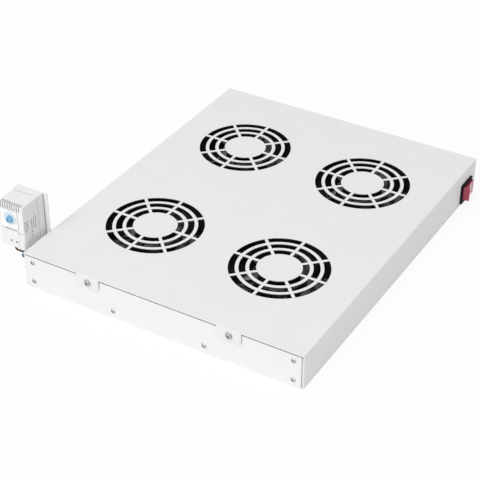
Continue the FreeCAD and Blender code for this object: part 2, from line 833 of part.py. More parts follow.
def make_inlet_pins():
    """Three flat pins with their tails through the rear of the socket."""
    pins = []
    for n, step in enumerate((-1, 0, 1), 1):
        rise = "pin_stagger / 2" if step == 0 else "-pin_stagger / 2"
        pins.append(box(f"inlet_pin_{n}", [
            centred(f"inlet_offset + {step} * pin_pitch / 2", "pin_thickness"),
            (f"{REAR_FACE} - inlet_body_depth - pin_tail", f"{SOCKET_FLOOR} + pin_length"),
            centred(f"inlet_height + {rise}", "pin_width")]))
    return group("inlet_pins", *pins)


def make_inlet(pins):
    """Flange and body with a six-sided socket; the pins pass through its floor."""
    flange = box("inlet_flange_block", [centred("inlet_offset", "inlet_flange_width"),
                                        (REAR_FACE, INLET_FACE),
                                        centred("inlet_height", "inlet_flange_height")])
    shell = box("inlet_shell", inlet_spans("0", f"{REAR_FACE} - inlet_body_depth", REAR_FACE))
    socket = new_body("inlet_socket")
    plan = new_sketch(socket, "socket_plan", "XZ")
    half = "(socket_width / 2)"
    low = "inlet_height - socket_height / 2"
    high = "inlet_height + socket_height / 2"
    outline(plan, [
        (f"inlet_offset - {half}", low), (f"inlet_offset + {half}", low),
        (f"inlet_offset + {half}", f"{high} - socket_chamfer"),
        (f"inlet_offset + {half} - socket_chamfer", high),
        (f"inlet_offset - {half} + socket_chamfer", high),
        (f"inlet_offset - {half}", f"{high} - socket_chamfer"),
    ])
    feature(socket, "Pad", "socket_space", plan, Length="socket_depth")
    place(socket, 0, INLET_FACE, 0)
    return cut("power_inlet", fuse("inlet_block", flange, shell), socket, pins)


def make_inlet_screws():
    spots = [(f"inlet_offset + {sign} * inlet_hole_pitch / 2", INLET_FACE, "inlet_height")
             for sign in (-1, 1)]
    return heads("inlet_screws", "y", "inlet_screw_head_radius", "inlet_screw_head", spots)


# ---------------------------------------------------------------- wiring

def block_screw(kind, n, sides, height):
    return prism(f"block_{kind}_{n + 1}", "z", sides, "block_screw_radius",
                 (f"{BLOCK_LEFT} + block_length / 2 + {n - 1.5} * block_screw_pitch",
                  BLOCK_Y,
                  "2 * skin + block_height - block_screw_depth"), height)


def make_terminal_block():
    """Terminal strip on the floor sheet with four screw wells."""
    block = box("block_body", [(BLOCK_LEFT, f"{BLOCK_LEFT} + block_length"),
                               (BLOCK_FRONT, f"{BLOCK_FRONT} + block_depth"),
                               ("2 * skin", "2 * skin + block_height")])
    wells = [block_screw("well", n, 6, "block_screw_depth") for n in range(4)]
    return cut("terminal_block", block, *wells)


def make_block_screws():
    screws = [block_screw("screw", n, 6, "block_screw_depth / 2") for n in range(4)]
    return group("terminal_screws", *screws)


def make_loom():
    """Flat cable on the floor sheet, from switch and inlet past the fans to the terminals."""
    level = ("2 * skin", "2 * skin + cable_thickness")
    spades = f"{WALL} - switch_body_depth - spade_length"
    tails = f"{REAR_FACE} - inlet_body_depth - pin_tail"
    runs = [
        [("-cable_width / 2", spades), centred(CABLE_Y, "cable_width"), level],
        [centred(0, "cable_width"), (BLOCK_Y, CABLE_Y), level],
        [(f"{BLOCK_LEFT} + block_length", "cable_width / 2"), centred(BLOCK_Y, "cable_width"), level],
        [(f"{spades} - cable_thickness", spades), centred(CABLE_Y, "cable_width"),
         ("2 * skin", "switch_height + spade_pitch_high / 2 + spade_width / 2")],
        [centred("inlet_offset", "pin_pitch + pin_thickness"), (f"{tails} - cable_thickness", tails),
         ("2 * skin", "inlet_height + pin_stagger / 2 + pin_width / 2")],
    ]
    gap = f"({FAN_X} - fan_size / 2)"
    beside = f"({FAN_Y} - fan_size / 2 + lead_inset)"
    for sign in (-1, 1):
        runs.append([(f"-{gap}", gap), centred(f"{sign} * {beside}", "lead_width"), level])
    return fuse("wiring_loom", *[box(f"cable_run_{n}", run) for n, run in enumerate(runs, 1)])


def make_earth_screw():
    return prism("earth_screw", "z", 6, "earth_screw_radius",
                 ("earth_offset", "tray_depth / 2 - earth_inset", "2 * skin"), "earth_screw_height")


def tube_path(points, bend):
    """Straight runs joined by tangent arcs of one radius."""
    edges = []
    start = points[0]
    for before, corner, after in zip(points, points[1:], points[2:]):
        arrive = (corner - before).normalize()
        leave = (after - corner).normalize()
        turn = arrive.getAngle(leave)
        if turn < 1e-6:
            continue
        back = bend * math.tan(turn / 2)
        first = corner - arrive * back
        last = corner + leave * back
        inward = (leave - arrive).normalize()
        middle = corner + inward * (bend / math.cos(turn / 2) - bend)
        edges.append(Part.LineSegment(start, first).toShape())
        edges.append(Part.Arc(first, middle, last).toShape())
        start = last
    edges.append(Part.LineSegment(start, points[-1]).toShape())
    return Part.Wire(edges)


def tube(points, bend, radius):
    """A lead along a path, with few sides in place of a round section."""
    path = tube_path(points, bend)
    start = points[0]
    heading = (points[1] - start).normalize()
    turn = Placement(start, Rotation(Vector(0, 0, 1), heading))
    corners = []
    for k in range(LEAD_SIDES + 1):
        angle = 2 * math.pi * k / LEAD_SIDES
        corners.append(turn.multVec(Vector(math.cos(angle), math.sin(angle), 0) * radius))
    return path.makePipeShell([Part.makePolygon(corners)], True, False)


# ---------------------------------------------------------------- thermostat

STAT_LOW = "stat_top - stat_height"
COVER_FACE = f"{STAT_FRONT} - front_relief"
KNOB_HEIGHT = "stat_top - knob_drop"
BRACKET_RIVET_Y = f"{BRACKET_FACE} + bracket_skin + bracket_foot / 2"
RAIL_MIDDLE = "stat_top - stat_height / 2"


def make_stat_case():
    """Front shell with a terminal nose, a rounded cheek beside it and slots for the air."""
    middle = STAT_X
    body = new_body("case_body")
    plan = new_sketch(body, "case_plan", "XY", offset=(0, 0, STAT_LOW))
    rectangle(plan, f"{middle} - stat_width / 2", f"{middle} + stat_width / 2",
              STAT_FRONT, STAT_REAR)
    feature(body, "Pad", "case_block", plan, Length="stat_height")

    def front_edge(edge):
        mid = edge.CenterOfMass
        return close(mid.y, evaluate(STAT_FRONT)) and edge.BoundBox.XLength < 1

    body_fillet(body, "case_corners", "stat_corner", front_edge)
    hollow = new_sketch(body, "case_hollow", "XZ", offset=(0, 0, f"-{STAT_REAR}"))
    rectangle(hollow, f"{middle} - stat_width / 2 + stat_wall",
              f"{middle} + stat_width / 2 - stat_wall",
              f"{STAT_LOW} + stat_wall", "stat_top - stat_wall")
    feature(body, "Pocket", "case_inside", hollow, Length="stat_depth - stat_wall",
            Reversed=True)
    vents = new_sketch(body, "vent_plan", "YZ", offset=(
        0, 0, f"{middle} - (vent_count - 1) * vent_pitch / 2 - vent_width / 2"))
    rectangle(vents, f"{STAT_FRONT} - 1", f"{STAT_FRONT} + vent_back", "stat_top - vent_down",
              "stat_top + 1")
    slot = feature(body, "Pocket", "vent", vents, Length="vent_width", Reversed=True)
    row = body.newObject("PartDesign::LinearPattern", "vents")
    row.Originals = [slot]
    row.Direction = (vents, ["N_Axis"])
    bind(row, Length="(vent_count - 1) * vent_pitch", Occurrences="vent_count")
    body.Tip = row
    doc.recompute()
    nose = box("terminal_nose", [
        (f"{middle} - stat_width / 2 + stat_corner", f"{middle} + stat_width / 2 - cheek_width"),
        (COVER_FACE, f"{STAT_FRONT} + stat_screw_depth"),
        (f"{STAT_LOW} + nose_floor", "stat_top - nose_top_drop")])
    cheek = box("cheek_block", [
        (f"{middle} + stat_width / 2 - cheek_width + seam",
         f"{middle} + stat_width / 2 + front_relief"),
        (COVER_FACE, f"{STAT_FRONT} + cheek_width"), (STAT_LOW, "stat_top - cheek_top_drop")])

    def outer_edge(edge):
        side = evaluate(f"{STAT_X} + stat_width / 2 + front_relief")
        mid = edge.CenterOfMass
        return upright(edge) and close(mid.x, side) and close(mid.y, evaluate(COVER_FACE))

    rounded = dressed("Fillet", "cheek", cheek, "cheek_round", outer_edge)
    tools = [stat_screw("well", n, "stat_screw_depth") for n in (1, 2)]
    tools.append(rod("spindle_hole", "y", "spindle_radius + running_gap",
                     (middle, f"{STAT_FRONT} - 1", KNOB_HEIGHT), "stat_wall + 2"))
    tools.append(box("mouth", [
        centred(middle, "mouth_width"), (f"{STAT_FRONT} - 1", f"{STAT_FRONT} + mouth_depth"),
        ("stat_top - nose_top_drop", "stat_top - nose_top_drop + mouth_height")]))
    for sign in (-1, 1):
        side = f"{middle} + {sign} * stat_width / 2"
        tools += side_slots(f"{sign + 2}", centred(side, "2 * slit_depth"))
    return cut("thermostat_case", fuse("case_shell", body, nose, rounded), *tools)


def side_slots(mark, across):
    """Louvres, upright slits and catch openings in one side of the case."""
    tools = []
    for n in range(int(size("louvre_count"))):
        level = f"stat_top - louvre_drop - {n} * louvre_pitch"
        tools.append(box(f"louvre_{mark}_{n}", [
            across, (f"{STAT_FRONT} + stat_corner", f"{STAT_FRONT} + louvre_length"),
            centred(level, "louvre_height")]))
    for n in range(3):
        start = f"{STAT_FRONT} + slit_first + {n} * slit_pitch"
        tools.append(box(f"slit_{mark}_{n}", [
            across, (start, f"{start} + slit_width"),
            (f"stat_top - slit_low - {n} * louvre_height",
             f"stat_top - louvre_drop + {n} * slit_width")]))
    for n in range(2):
        level = f"stat_top - catch_drop - {n} * catch_pitch"
        tools.append(box(f"catch_{mark}_{n}", [
            across, (f"{STAT_FRONT} + slit_first - slit_width",
                     f"{STAT_FRONT} + slit_first - slit_width + catch_length"),
            centred(level, "catch_height")]))
    return tools


def stat_screw(kind, n, length):
    """A terminal screw in the nose, or the well in front of it."""
    depth = f"{COVER_FACE} + stat_screw_depth"
    return prism(f"stat_{kind}_{n}", "y", 8, "stat_screw_radius",
                 (f"{STAT_X} + terminal_shift + {2 * n - 3} * stat_screw_pitch / 2",
                  f"{depth} - ({length})", "stat_top - stat_screw_drop"), length)


def make_front_cover():
    """Plate with the dial's scale, seated on the front of the case."""
    plate = box("cover_blank", [
        centred(f"{STAT_X} - cover_shift", "cover_width"), (COVER_FACE, STAT_FRONT),
        ("stat_top - cover_low_drop", "stat_top - cover_top_drop")])
    hole = prism("cover_hole", "y", ROUND_SIDES, "spindle_radius + 1",
                 (STAT_X, f"{STAT_FRONT} - 2", KNOB_HEIGHT), 4)
    return cut("front_cover", plate, hole)


def make_knob():
    """Setting knob with a pointer groove across its face, on its spindle."""
    back = f"{COVER_FACE} - seam"
    face = f"{back} - knob_length"
    barrel = prism("knob_barrel", "y", KNOB_SIDES, "knob_radius",
                   (STAT_X, face, KNOB_HEIGHT), "knob_length")
    groove = box("knob_slot", [centred(STAT_X, "knob_groove"),
                               (f"{face} - 1", f"{face} + knob_groove"),
                               (f"{KNOB_HEIGHT} - knob_radius", f"{KNOB_HEIGHT} + knob_radius")])
    spindle = rod("knob_spindle", "y", "spindle_radius",
                  (STAT_X, f"{back} - 1", KNOB_HEIGHT), "spindle_length")
    return fuse("setting_knob", cut("knob_grooved", barrel, groove), spindle)


def make_stat_screws():
    return group("thermostat_screws", *[stat_screw("screw", n, "stat_screw_depth / 2")
                                        for n in (1, 2)])


def make_bimetal():
    """Bimetal strip that stands on the base behind the spindle."""
    return box("bimetal_strip", [
        centred(STAT_X, "bimetal_width"),
        (f"{STAT_REAR} - bimetal_thickness", STAT_REAR),
        centred(RAIL_MIDDLE, "bimetal_length")])


def rail_outline(sketch):
    """Section of the top-hat rail."""
    plane = BRACKET_FACE
    front = f"{plane} - rail_depth"
    pts = [
        (plane, "-rail_channel / 2"), (plane, "rail_channel / 2"),
        (f"{front} + rail_skin", "rail_channel / 2"), (f"{front} + rail_skin", "rail_height / 2"),
        (front, "rail_height / 2"), (front, "rail_channel / 2 - rail_skin"),
        (f"{plane} - rail_skin", "rail_channel / 2 - rail_skin"),
        (f"{plane} - rail_skin", "-rail_channel / 2 + rail_skin"),
        (front, "-rail_channel / 2 + rail_skin"), (front, "-rail_height / 2"),
        (f"{front} + rail_skin", "-rail_height / 2"),
        (f"{front} + rail_skin", "-rail_channel / 2"),
    ]
    outline(sketch, [(y, f"{RAIL_MIDDLE} + ({z})") for y, z in pts])


def make_rail():
    body = new_body("mounting_rail")
    section = new_sketch(body, "rail_section", "YZ", offset=(0, 0, STAT_X))
    rail_outline(section)
    feature(body, "Pad", "rail_bar", section, Length="rail_length", Midplane=True)
    return body


def make_stat_base():
    """Rear half; its recess has lips that clip over the edges of the rail."""
    rear = f"{BRACKET_FACE} - 2 * seam"
    block = box("base_block", [centred(STAT_X, "stat_base_width"),
                               (STAT_REAR, rear),
                               centred(RAIL_MIDDLE, "stat_base_height")])
    recess = new_body("rail_recess")
    section = new_sketch(recess, "recess_section", "YZ", offset=(0, 0, STAT_X))
    lips = f"{BRACKET_FACE} - rail_depth"
    slot = "(rail_height / 2 + rail_grip)"
    hook = "(rail_height / 2 - hook_reach)"
    grip = f"{lips} + rail_skin + rail_grip"
    pts = [
        (f"{rear} + 1", f"-{hook}"), (grip, f"-{hook}"), (grip, f"-{slot}"), (lips, f"-{slot}"),
        (lips, slot), (grip, slot), (grip, hook), (f"{rear} + 1", hook),
    ]
    outline(section, [(y, f"{RAIL_MIDDLE} + ({z})") for y, z in pts])
    feature(recess, "Pad", "recess_bar", section, Length="rail_room", Midplane=True)
    return cut("thermostat_base", block, recess)


def make_bracket():
    """Angle bracket: a foot on the side wall and an upright plate for the rail."""
    plate = box("bracket_plate", [
        ("-(tray_width / 2) - bracket_width", "-(tray_width / 2)"),
        (BRACKET_FACE, f"{BRACKET_FACE} + bracket_skin"),
        ("bracket_bottom", "bracket_top")])
    foot = box("bracket_foot_sheet", [
        ("-(tray_width / 2) - bracket_skin", "-(tray_width / 2)"),
        (BRACKET_FACE, f"{BRACKET_FACE} + bracket_skin + bracket_foot"),
        ("bracket_bottom", "bracket_foot_top")])
    return fuse("thermostat_bracket", plate, foot)


def make_foot_rivets():
    spots = [("-(tray_width / 2) - bracket_skin - rivet_head", BRACKET_RIVET_Y,
              f"bracket_bottom + bracket_rivet_low + {n} * bracket_rivet_pitch") for n in (0, 1)]
    return heads("bracket_rivets", "x", "rivet_radius", "rivet_head", spots)


def make_rail_rivets():
    spots = [(f"{STAT_X} + {sign} * rail_length / 4",
              f"{BRACKET_FACE} - rail_skin - rivet_head", RAIL_MIDDLE) for sign in (-1, 1)]
    return heads("rail_rivets", "y", "rivet_radius", "rivet_head", spots)


def make_grommet():
    """Rubber grommet with a lip on each side of the left wall."""
    def ring(name, radius, start, length):
        spot = (start, GROMMET_Y, "grommet_height")
        return prism(name, "x", ROUND_SIDES, radius, spot, length)

    wall = "-(tray_width / 2)"
    lip = "grommet_lip_thickness"
    outer = ring("lip_outside", "grommet_lip", f"{wall} - {lip}", lip)
    neck = ring("grommet_neck", "grommet_hole", wall, "skin")
    inner = ring("lip_inside", "grommet_lip", f"{wall} + skin", lip)
    hole = ring("grommet_way", "grommet_bore", f"{wall} - 2 * {lip}", f"skin + 4 * {lip}")
    return cut("wire_grommet", fuse("grommet_rings", outer, neck, inner), hole)


# Routes of the two thermostat leads: out of the case, through the grommet, on to the block.
BROWN_ROUTE = [
    (-207.2, -205.6, 37.5), (-207.2, -205.6, 29.5), (-199.2, -205.6, 29.5),
    (-184.0, -205.6, 29.5), (-176.0, -205.6, 29.5), (-152.5, -205.6, 29.5),
    (-148.5, -205.6, 29.5), (-144.5, -205.6, 29.5), (-144.5, -205.6, 25.5),
    (-144.5, -205.6, 17.4),
]
BLUE_ROUTE = [
    (-190.5, -205.0, 37.5), (-190.5, -205.0, 34.9), (-192.5, -214.0, 29.0),
    (-184.0, -208.4, 28.5), (-176.0, -208.4, 28.5), (-141.5, -208.4, 28.5),
    (-137.5, -208.4, 28.5), (-133.5, -208.4, 28.5), (-133.5, -208.4, 24.5),
    (-133.5, -208.4, 17.4),
]


def make_lead(name, route):
    points = [Vector(*point) for point in route]
    return shaped(name, tube(points, size("wire_bend"), size("wire_radius")))


# ---------------------------------------------------------------- assembly

keep(make_top_cover())
keep(make_base_plate())
keep(make_front_panel())
keep(make_rear_panel())
keep(make_panel_rivets())
keep(make_cover_screws())
for number, (across, deep) in enumerate(FANS, 1):
    keep(make_fan_frame(number, across, deep))
    keep(make_rotor(number, across, deep))
keep(make_switch_housing())
keep(make_rocker())
keep(make_switch_terminals())
pins = keep(make_inlet_pins())
keep(make_inlet(pins))
keep(make_inlet_screws())
keep(make_terminal_block())
keep(make_block_screws())
keep(make_loom())
keep(make_earth_screw())
keep(make_bracket())
keep(make_foot_rivets())
keep(make_rail_rivets())
keep(make_rail())
keep(make_stat_base())
keep(make_stat_case())
keep(make_front_cover())
keep(make_knob())
keep(make_stat_screws())
keep(make_bimetal())
keep(make_grommet())
keep(make_lead("brown_wire", BROWN_ROUTE))
keep(make_lead("blue_wire", BLUE_ROUTE))

doc.recompute()
for item in doc.Objects:
    if {"Invalid", "Error"} & set(item.State):
        raise RuntimeError(f"{item.Label} failed: {item.getStatusString()}")
for item in PARTS:
    shape = item.Shape
    if shape.isNull() or not shape.isValid() or not shape.Solids:
        raise RuntimeError(f"{item.Label} has no valid shape")
for item in PARTS:
    item.Shape.exportStep(f"parts/{item.Label}.step")
print(len(PARTS), "pieces")
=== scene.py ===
import json
import math

import bmesh
import bpy
from mathutils import Matrix, Vector


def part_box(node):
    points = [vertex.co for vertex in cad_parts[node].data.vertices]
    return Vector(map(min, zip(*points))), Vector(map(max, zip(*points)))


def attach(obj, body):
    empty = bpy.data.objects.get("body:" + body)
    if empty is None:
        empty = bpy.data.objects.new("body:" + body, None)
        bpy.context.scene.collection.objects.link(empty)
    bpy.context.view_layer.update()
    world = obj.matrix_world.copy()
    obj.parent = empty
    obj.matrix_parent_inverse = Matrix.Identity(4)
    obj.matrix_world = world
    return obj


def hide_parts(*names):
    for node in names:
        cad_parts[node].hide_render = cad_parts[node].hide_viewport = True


# Rack fan tray: finishes, rounded fasteners, moulded impellers, switch, dial and leads,
# with a plain white studio. Numbers for shapes are in millimetres, like the source's, and
# Blender's are in metres.

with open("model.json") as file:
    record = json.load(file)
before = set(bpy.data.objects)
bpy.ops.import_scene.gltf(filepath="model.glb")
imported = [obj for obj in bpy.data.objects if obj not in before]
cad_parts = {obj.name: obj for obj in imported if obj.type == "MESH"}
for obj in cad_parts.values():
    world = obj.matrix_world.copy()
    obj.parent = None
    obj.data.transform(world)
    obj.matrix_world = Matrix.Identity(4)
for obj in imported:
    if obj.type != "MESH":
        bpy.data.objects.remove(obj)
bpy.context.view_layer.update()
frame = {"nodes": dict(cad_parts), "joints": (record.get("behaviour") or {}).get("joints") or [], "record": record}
nodes = frame["nodes"]
SLOT_OF = {entry["node"]: entry["material_slot"] for entry in frame["record"]["subparts"]}
FANS = range(1, 5)
MM = 0.001
FRONT, REAR, LEFT, RIGHT, UP = (0, -1, 0), (0, 1, 0), (-1, 0, 0), (1, 0, 0), (0, 0, 1)


def box_mm(node):
    """The lowest and the highest corner of a CAD node."""
    return [Vector(corner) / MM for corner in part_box(node)]


def joint_centre(body):
    """The place of the joint that a body moves about."""
    joint = next(j for j in frame["joints"] if j["child"] == body)
    return Vector(joint["pos_m"]) / MM


# ---------------------------------------------------------------- shader nodes

TRAY_REACH = {"X": 172, "Y": 217}       # from the middle to 8 mm inside each wall
PAINTED_SLOT_DEPTHS = (0.2, 2.5)                  # how far below the cover's top the slots' edges are, which get painted shade
PAINTED_SLOT_SHADE = 0.15
FLOOR_FADE = (2.5, 4.0)                 # heights between which the painted shade in corners sets in
OPENNESS = (0.25, 0.8)                  # ambient occlusion of a closed and of an open corner
OCCLUSION_SAMPLES = 8
BLEND_POSITIONS = (0.3, 0.7)            # noise values at which a blend starts and ends
RELIEF_HEIGHT = 0.05


def new_material(name):
    material = bpy.data.materials.new(name)
    material.use_nodes = True
    tree = material.node_tree
    return material, tree, tree.nodes["Principled BSDF"]


def calculate(tree, operation, first, second=0.0):
    """What a Math node makes of two values, each a number or a socket."""
    node = tree.nodes.new("ShaderNodeMath")
    node.operation = operation
    for socket, value in zip(node.inputs, (first, second)):
        if isinstance(value, (int, float)):
            socket.default_value = value
        else:
            tree.links.new(value, socket)
    return node.outputs[0]


def remap(tree, value, start, end, low, high):
    """A value whose range from start to end becomes low to high, held at both ends."""
    node = tree.nodes.new("ShaderNodeMapRange")
    node.inputs["From Min"].default_value = start
    node.inputs["From Max"].default_value = end
    node.inputs["To Min"].default_value = low
    node.inputs["To Max"].default_value = high
    tree.links.new(value, node.inputs["Value"])
    return node.outputs["Result"]


def position(tree):
    """X, Y and Z of the shaded point in object space, in metres."""
    coords = tree.nodes.new("ShaderNodeTexCoord")
    axes = tree.nodes.new("ShaderNodeSeparateXYZ")
    tree.links.new(coords.outputs["Object"], axes.inputs["Vector"])
    return axes.outputs


def noise(tree, scale, detail, roughness=0.5, stretch=(1, 1, 1)):
    """A noise texture in object space; its scale is per metre."""
    coords = tree.nodes.new("ShaderNodeTexCoord")
    mapping = tree.nodes.new("ShaderNodeMapping")
    mapping.inputs["Scale"].default_value = stretch
    texture = tree.nodes.new("ShaderNodeTexNoise")
    texture.inputs["Scale"].default_value = scale
    texture.inputs["Detail"].default_value = detail
    texture.inputs["Roughness"].default_value = roughness
    tree.links.new(coords.outputs["Object"], mapping.inputs["Vector"])
    tree.links.new(mapping.outputs["Vector"], texture.inputs["Vector"])
    return texture.outputs[0]


def ramp(tree, value, low, high):
    """Blend two colours by a noise value."""
    node = tree.nodes.new("ShaderNodeValToRGB")
    first, last = node.color_ramp.elements
    first.position, last.position = BLEND_POSITIONS
    first.color = (*low, 1)
    last.color = (*high, 1)
    tree.links.new(value, node.inputs["Fac"])
    return node.outputs["Color"]


def bump(tree, shader, value, strength):
    node = tree.nodes.new("ShaderNodeBump")
    node.inputs["Strength"].default_value = strength
    node.inputs["Distance"].default_value = RELIEF_HEIGHT * MM
    tree.links.new(value, node.inputs["Height"])
    tree.links.new(node.outputs["Normal"], shader.inputs["Normal"])


def beyond_tray(tree):
    """0 over and under the tray's inner area, 1 elsewhere."""
    axes = position(tree)
    sides = [calculate(tree, "GREATER_THAN", calculate(tree, "ABSOLUTE", axes[axis]), reach * MM)
             for axis, reach in TRAY_REACH.items()]
    return calculate(tree, "MAXIMUM", *sides)


def painted_slot_edge_shade(tree):
    """Painted shade on the cut edges of the cover's slots: dark there, 1 on every other surface."""
    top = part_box("top_cover")[1].z
    height = position(tree)["Z"]
    above = calculate(tree, "GREATER_THAN", height, top - PAINTED_SLOT_DEPTHS[1] * MM)
    below = calculate(tree, "LESS_THAN", height, top - PAINTED_SLOT_DEPTHS[0] * MM)
    inside = calculate(tree, "LESS_THAN", beyond_tray(tree), 0.5)
    cut = calculate(tree, "MULTIPLY", calculate(tree, "MULTIPLY", above, below), inside)
    return remap(tree, cut, 0, 1, 1, PAINTED_SLOT_SHADE)


def paint_gap_shade(tree, shader, colour, reach, depth):
    """Paint shade into a colour in gaps and corners from ambient occlusion, though not where it stands on the
    floor; the slots' cut edges get painted shade too.
    """
    corners = tree.nodes.new("ShaderNodeAmbientOcclusion")
    corners.samples = OCCLUSION_SAMPLES
    corners.inputs["Distance"].default_value = reach * MM
    shade = remap(tree, corners.outputs["AO"], *OPENNESS, depth, 1)
    fade = [height * MM for height in FLOOR_FADE]
    near_floor = remap(tree, position(tree)["Z"], *fade, 1, 0)
    shade = calculate(tree, "MAXIMUM", shade, near_floor)
    shade = calculate(tree, "MULTIPLY", shade, painted_slot_edge_shade(tree))
    scaled = tree.nodes.new("ShaderNodeVectorMath")
    scaled.operation = "SCALE"
    tree.links.new(colour, scaled.inputs[0])
    tree.links.new(shade, scaled.inputs["Scale"])
    tree.links.new(scaled.outputs["Vector"], shader.inputs["Base Color"])


# ---------------------------------------------------------------- materials


def surface(name, colour, vary=0.03, rough=(0.4, 0.5), grain=900, relief=0.1, broad=60,
            stretch=(1, 1, 1), painted_gap_shade=None, **shader_values):
    """A finish with slight variation of colour, gloss and relief.

    grain and broad are the fine and the broad noise per metre, and the gap setting is how far, in
    millimetres, painted shade reaches into corners and gaps, and how dark it makes them.
    """
    material, tree, shader = new_material(name)
    patches = noise(tree, broad, detail=2.0)
    fine = noise(tree, grain, detail=3.0, roughness=0.6, stretch=stretch)
    low = [channel * (1 - vary) for channel in colour]
    high = [min(1, channel * (1 + vary)) for channel in colour]
    blend = ramp(tree, patches, low, high)
    tree.links.new(blend, shader.inputs["Base Color"])
    if painted_gap_shade:
        paint_gap_shade(tree, shader, blend, *painted_gap_shade)
    tree.links.new(remap(tree, fine, 0, 1, *rough), shader.inputs["Roughness"])
    bump(tree, shader, fine, relief)
    for socket, value in shader_values.items():
        shader.inputs[socket.replace("_", " ")].default_value = value
    return material


# Finishes with a gap setting have shade painted into their gaps and corners, and on the cover's slot edges.
FINISHES = {
    "sheet_metal": surface("powder_coat", (0.815, 0.815, 0.815), 0.006, (0.46, 0.56), 1400,
                           relief=0.18, broad=25, painted_gap_shade=(4.0, 0.05)),
    "fan_plastic": surface("fan_housing_plastic", (0.006, 0.006, 0.0065), 0.2, (0.4, 0.55),
                           relief=0.2, Specular_IOR_Level=0.3),
    "rotor_plastic": surface("impeller_plastic", (0.009, 0.009, 0.0095), 0.15, (0.16, 0.26), 500,
                             relief=0.06, stretch=(1, 1, 3), Coat_Weight=0.3,
                             Coat_Roughness=0.2),
    "switch_plastic": surface("switch_plastic", (0.002, 0.002, 0.002), 0.2,
                              Specular_IOR_Level=0.1),
    "rocker_plastic": surface("rocker_red", (0.34, 0.005, 0.048), 0.03, (0.2, 0.26), 600,
                              relief=0.03, painted_gap_shade=(6.0, 0.08), Coat_Weight=0.6,
                              Coat_Roughness=0.1),
    "inlet_plastic": surface("inlet_plastic", (0.018, 0.018, 0.018), 0.2),
    "steel": surface("zinc_plate", (0.56, 0.56, 0.555), 0.05, (0.2, 0.34), 800, broad=300,
                     painted_gap_shade=(1.6, 0.05), Metallic=1.0),
    "brass": surface("bare_brass", (0.60, 0.46, 0.20), 0.1, (0.25, 0.4), 700, broad=200,
                     stretch=(6, 1, 1), Metallic=1.0),
    "block_plastic": surface("terminal_plastic", (0.64, 0.62, 0.56), 0.03, (0.45, 0.55)),
    "cable": surface("cable_sheath", (0.035, 0.035, 0.037), 0.15, (0.5, 0.62), 500,
                     relief=0.3, stretch=(1, 6, 1)),
    "brown_insulation": surface("brown_insulation", (0.075, 0.042, 0.018), 0.08, (0.32, 0.42),
                                Coat_Weight=0.2),
    "blue_insulation": surface("blue_insulation", (0.02, 0.13, 0.22), 0.08, (0.32, 0.42),
                               Coat_Weight=0.2),
    "rubber": surface("rubber", (0.024, 0.024, 0.024), 0.2, (0.6, 0.75), 700, relief=0.3),
    "stat_plastic": surface("light_grey_plastic", (0.825, 0.823, 0.815), 0.008, (0.42, 0.52),
                            1600, relief=0.2, broad=80, painted_gap_shade=(1.6, 0.2)),
    "scale": surface("white_plastic", (0.90, 0.91, 0.92), 0.006, (0.32, 0.42), 1600, broad=80,
                     painted_gap_shade=(1.5, 0.3)),
    "knob_plastic": surface("knob_blue", (0.20, 0.43, 0.66), 0.04, (0.26, 0.36), 700,
                            broad=200),
}
PRINT = surface("scale_print", (0.12, 0.14, 0.18), 0.1, (0.5, 0.6), 2500)
PRINT_RING = surface("scale_ring_print", (0.68, 0.82, 0.90), 0.03, (0.45, 0.55), 2500)

for node, slot in SLOT_OF.items():
    mesh = nodes[node].data
    mesh.materials.clear()
    mesh.materials.append(FINISHES[slot])

# ---------------------------------------------------------------- mesh helpers

SHARP_ANGLE = 40                        # degrees from which an edge is drawn sharp
JOINED = 0.000001                       # metres within which points are one


def smooth_shading(mesh, sharp_angle=SHARP_ANGLE):
    mesh.shade_smooth()
    mesh.set_sharp_from_angle(angle=math.radians(sharp_angle))


def close_and_orient(mesh):
    """Join the points that coincide and turn every shell's faces outwards."""
    work = bmesh.new()
    work.from_mesh(mesh)
    bmesh.ops.remove_doubles(work, verts=work.verts, dist=JOINED)
    bmesh.ops.recalc_face_normals(work, faces=work.faces)
    work.to_mesh(mesh)
    work.free()


class Shape:
    """Points in millimetres and faces, gathered from several parts."""

    def __init__(self):
        self.points = []
        self.faces = []

    def add(self, points, faces, turn=Matrix()):
        first = len(self.points)
        self.points += [turn @ Vector(point) for point in points]
        self.faces += [[first + index for index in face] for face in faces]
        return self

    def piece(self, name, material, sharp_angle=SHARP_ANGLE):
        mesh = bpy.data.meshes.new(name)
        mesh.from_pydata([point * MM for point in self.points], [], self.faces)
        close_and_orient(mesh)
        smooth_shading(mesh, sharp_angle)
        mesh.materials.append(material)
        item = bpy.data.objects.new(name, mesh)
        bpy.context.scene.collection.objects.link(item)
        return item


def lathe(profile, sides=36, flutes=0, depth=0.0):
    """Revolve (radius, height) pairs about Z; a radius of 0 closes an end."""
    points = []
    rings = []
    for radius, height in profile:
        if radius == 0:
            rings.append([len(points)] * sides)
            points.append((0, 0, height))
            continue
        ring = []
        for k in range(sides):
            angle = 2 * math.pi * k / sides
            reach = radius - depth * (0.5 + 0.5 * math.cos(flutes * angle))
            ring.append(len(points))
            points.append((reach * math.cos(angle), reach * math.sin(angle), height))
        rings.append(ring)
    faces = []
    for low, high in zip(rings, rings[1:]):
        for k in range(sides):
            after = (k + 1) % sides
            corners = [low[k], low[after], high[after], high[k]]
            faces.append(list(dict.fromkeys(corners)))
    return points, faces


def block(spans):
    """A box from three (low, high) pairs."""
    points = [(x, y, z) for z in spans[2] for y in spans[1] for x in spans[0]]
    faces = [(0, 2, 3, 1), (4, 5, 7, 6), (0, 1, 5, 4), (1, 3, 7, 5), (3, 2, 6, 7), (2, 0, 4, 6)]
    return points, faces


def aim(spot, axis, twist=0.0):
    """Place a shape made about +Z at a spot, with its +Z along axis."""
    turn = Vector(axis).to_track_quat("Z", "Y").to_matrix().to_4x4()
    return Matrix.Translation(Vector(spot)) @ turn @ Matrix.Rotation(twist, 4, "Z")


